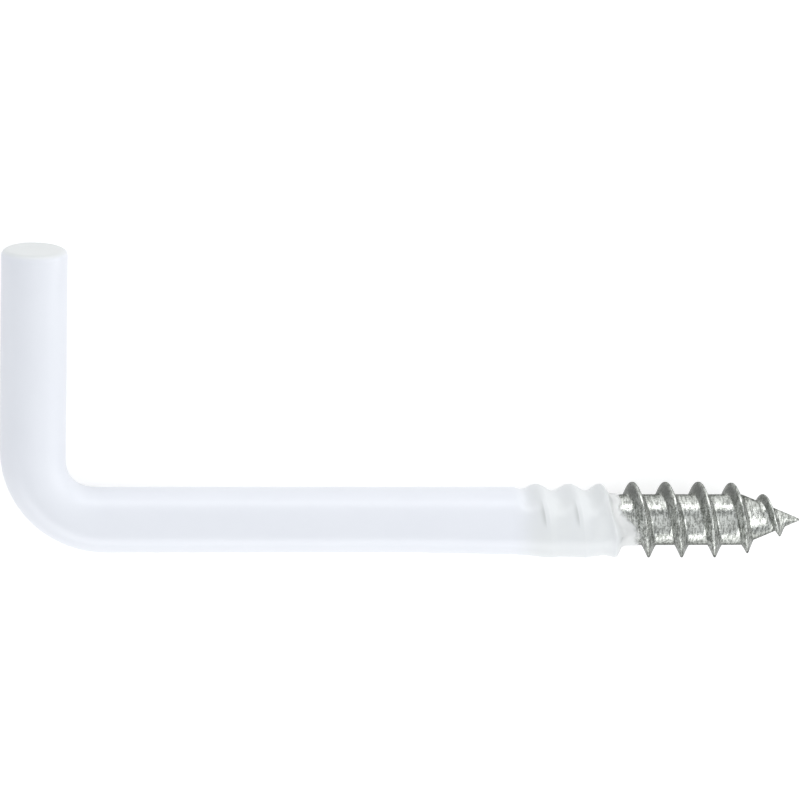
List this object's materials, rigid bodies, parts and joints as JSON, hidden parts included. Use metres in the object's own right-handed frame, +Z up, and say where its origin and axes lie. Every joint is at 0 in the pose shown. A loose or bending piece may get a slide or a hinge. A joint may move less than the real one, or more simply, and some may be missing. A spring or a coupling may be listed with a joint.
{
  "type": "screw-in hinge pin",
  "caption": "Square-bent steel wire with a rolled wood-screw thread, dipped in white plastic. The bare thread screws into a post, and the arm carries a hinge eye.",
  "frame": {"origin": "middle of the part's box in plan, on the surface that it lies on", "axes": "+X along the shank to the screw point, +Y along the arm to its free end, +Z up from the surface"},
  "size_m": [0.06, 0.0236, 0.0057],
  "materials": {
    "zinc_steel": "zinc-plated rolled steel, fine mottled grain",
    "white_plastic": "smooth dipped vinyl, slightly cool white"
  },
  "bodies": {
    "root": {"steel_pin": "zinc_steel", "plastic_coating": "white_plastic"}
  },
  "joints": []
}
